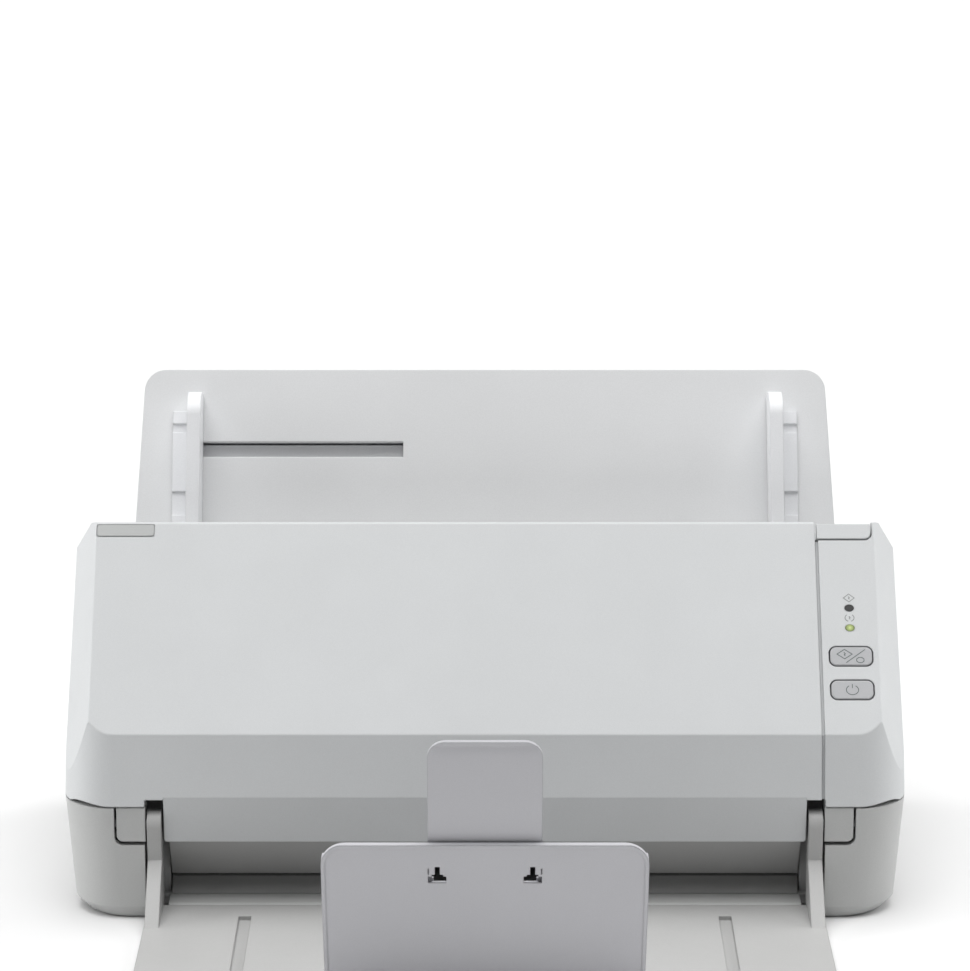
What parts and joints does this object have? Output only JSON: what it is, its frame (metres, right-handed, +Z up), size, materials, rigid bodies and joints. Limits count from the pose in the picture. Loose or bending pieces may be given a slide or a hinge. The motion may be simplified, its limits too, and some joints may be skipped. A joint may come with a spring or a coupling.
{
  "type": "sheet fed document scanner",
  "caption": "Compact desktop document scanner: hinged feeder unit over a lower case, upright paper chute with side guides, fold-out stacker tray with flap and stop.",
  "frame": {"origin": "on the desk, under the middle of the unfolded scanner's bounding box", "axes": "+Z up, -Y out of the front where the sheets come out, +X to the right seen from the front"},
  "size_m": [0.298, 0.2571, 0.169],
  "materials": {
    "case": "fine moulded grain",
    "lid": "fine moulded grain",
    "panel": "fine moulded grain",
    "stacker": "fine moulded grain",
    "stacker_flap": "smooth moulded",
    "chute": "fine moulded grain",
    "side_guide": "smooth moulded",
    "dark_frame": "satin moulded",
    "keys": "smooth moulded",
    "lever": "smooth moulded",
    "status_lens": "gloss",
    "ready_lens": "gloss, lit green",
    "steel": "ground",
    "zinc_plate": "zinc plated",
    "roller_rubber": "ground rubber",
    "belt_rubber": "moulded rubber",
    "foot_rubber": "matt rubber",
    "acetal": "smooth moulded",
    "glass": "polished",
    "sensor_housing": "moulded",
    "board": "solder mask",
    "socket_metal": "stamped",
    "socket_plastic": "moulded"
  },
  "bodies": {
    "base": {"lower_case": "case", "rear_cover": "case", "guide_plate": "dark_frame", "rear_scan_glass": "glass", "rear_image_sensor": "sensor_housing", "side_frame_left": "zinc_plate", "side_frame_right": "zinc_plate", "shaft_bushes": "acetal", "drive_motor": "zinc_plate", "drive_belt": "belt_rubber", "eject_belt": "belt_rubber", "lever_bracket": "zinc_plate", "main_board": "board", "power_inlet": "socket_plastic", "usb_socket": "socket_metal", "network_socket": "socket_metal", "case_screws": "steel", "feet": "foot_rubber", "hinge_pins": "steel", "chute_panel": "chute", "chute_back": "chute"},
    "feeder_unit": {"top_cover": "lid", "operator_panel": "panel", "feeder_frame": "dark_frame", "hinge_arm_left": "case", "hinge_arm_right": "case", "front_scan_glass": "glass", "front_image_sensor": "sensor_housing", "panel_board": "board", "status_lens": "status_lens", "ready_lens": "ready_lens", "latch_spring": "steel"},
    "latch": {"latch_shaft": "steel", "release_tab": "panel"},
    "scan_key": {"scan_button": "keys"},
    "power_key": {"power_button": "keys"},
    "brake_roller": {"brake_shaft": "steel", "brake_tyre": "roller_rubber"},
    "feed_pinch": {"feed_pinch_shaft": "steel", "feed_pinch_tyres": "acetal"},
    "eject_pinch": {"eject_pinch_shaft": "steel", "eject_pinch_tyres": "acetal"},
    "pick_roller": {"pick_shaft": "steel", "pick_tyres": "roller_rubber", "pick_pulley": "acetal"},
    "feed_roller": {"feed_shaft": "steel", "feed_tyres": "roller_rubber", "feed_pulley": "acetal"},
    "eject_roller": {"eject_shaft": "steel", "eject_tyres": "roller_rubber", "eject_pulley": "acetal"},
    "motor_rotor": {"motor_pulley": "acetal"},
    "sensor_lever": {"paper_lever": "lever"},
    "stacker": {"stacker_tray": "stacker"},
    "flap": {"stacker_flap": "stacker_flap"},
    "stop": {"stacker_stop": "stacker_flap"},
    "extension": {"chute_extension": "chute"},
    "guide_left": {"side_guide_left": "side_guide"},
    "guide_right": {"side_guide_right": "side_guide"},
    "pinion": {"guide_pinion": "acetal"}
  },
  "joints": [
    {"name": "feeder_open", "type": "hinge", "parent": "base", "child": "feeder_unit", "pos_m": [0, -0.0049, 0.0346], "axis": [1, 0, 0], "range_deg": [0, 70]},
    {"name": "latch_release", "type": "hinge", "parent": "feeder_unit", "child": "latch", "pos_m": [0, 0.0509, 0.112], "axis": [1, 0, 0], "range_deg": [-5.5, 0], "stiffness_Nm_per_rad": 0.06, "springref_deg": 8.59},
    {"name": "scan_press", "type": "slide", "parent": "feeder_unit", "child": "scan_key", "axis": [0, 0.7787, -0.6274], "range_m": [0, 0.001], "stiffness_N_per_m": 600},
    {"name": "power_press", "type": "slide", "parent": "feeder_unit", "child": "power_key", "axis": [0, 0.7787, -0.6274], "range_m": [0, 0.001], "stiffness_N_per_m": 600},
    {"name": "brake_spin", "type": "hinge", "parent": "feeder_unit", "child": "brake_roller", "pos_m": [0, 0.0674, 0.08443], "axis": [1, 0, 0], "continuous": true},
    {"name": "feed_pinch_spin", "type": "hinge", "parent": "feeder_unit", "child": "feed_pinch", "pos_m": [0, 0.0611, 0.06266], "axis": [1, 0, 0], "continuous": true},
    {"name": "eject_pinch_spin", "type": "hinge", "parent": "feeder_unit", "child": "eject_pinch", "pos_m": [0, 0.02111, 0.01962], "axis": [1, 0, 0], "continuous": true},
    {"name": "pick_spin", "type": "hinge", "parent": "base", "child": "pick_roller", "pos_m": [0, 0.0856, 0.07544], "axis": [1, 0, 0], "continuous": true},
    {"name": "feed_spin", "type": "hinge", "parent": "base", "child": "feed_roller", "pos_m": [0, 0.07393, 0.05632], "axis": [1, 0, 0], "continuous": true},
    {"name": "eject_spin", "type": "hinge", "parent": "base", "child": "eject_roller", "pos_m": [0, 0.0243, 0.01035], "axis": [1, 0, 0], "continuous": true},
    {"name": "motor_spin", "type": "hinge", "parent": "base", "child": "motor_rotor", "pos_m": [0, 0.1029, 0.027], "axis": [1, 0, 0], "continuous": true},
    {"name": "lever_swing", "type": "hinge", "parent": "base", "child": "sensor_lever", "pos_m": [0, 0.07721, 0.0659], "axis": [1, 0, 0], "range_deg": [-12, 0], "stiffness_Nm_per_rad": 0.002, "springref_deg": 17.19},
    {"name": "stacker_fold", "type": "hinge", "parent": "base", "child": "stacker", "pos_m": [0, -0.0049, 0.0346], "axis": [1, 0, 0], "range_deg": [-90, 0]},
    {"name": "flap_fold", "type": "hinge", "parent": "stacker", "child": "flap", "pos_m": [0, -0.0911, 0.006], "axis": [-1, 0, 0], "range_deg": [0, 58]},
    {"name": "stop_slide", "type": "hinge", "parent": "flap", "child": "stop", "pos_m": [0, 0.0701, 0.1244], "axis": [1, 0, 0], "range_deg": [0, 9.6]},
    {"name": "extension_pull", "type": "slide", "parent": "base", "child": "extension", "axis": [0, 0.4431, 0.8965], "range_m": [0, 0.04]},
    {"name": "guide_left_slide", "type": "slide", "parent": "base", "child": "guide_left", "axis": [1, 0, 0], "range_m": [0, 0.075]},
    {"name": "guide_right_slide", "type": "slide", "parent": "base", "child": "guide_right", "axis": [1, 0, 0], "range_m": [-0.075, 0]},
    {"name": "pinion_spin", "type": "hinge", "parent": "base", "child": "pinion", "pos_m": [0, 0.0993, 0.1264], "axis": [0, -0.8965, 0.4431], "range_deg": [-345, 0]}
  ],
  "couplings": [
    {"joint": "motor_spin", "follows": "pick_spin", "ratio": 1},
    {"joint": "feed_spin", "follows": "pick_spin", "ratio": 1.5},
    {"joint": "eject_spin", "follows": "pick_spin", "ratio": 1.4286},
    {"joint": "guide_right_slide", "follows": "guide_left_slide", "ratio": -1},
    {"joint": "pinion_spin", "follows": "guide_left_slide", "rad_per_m": -79.365}
  ]
}
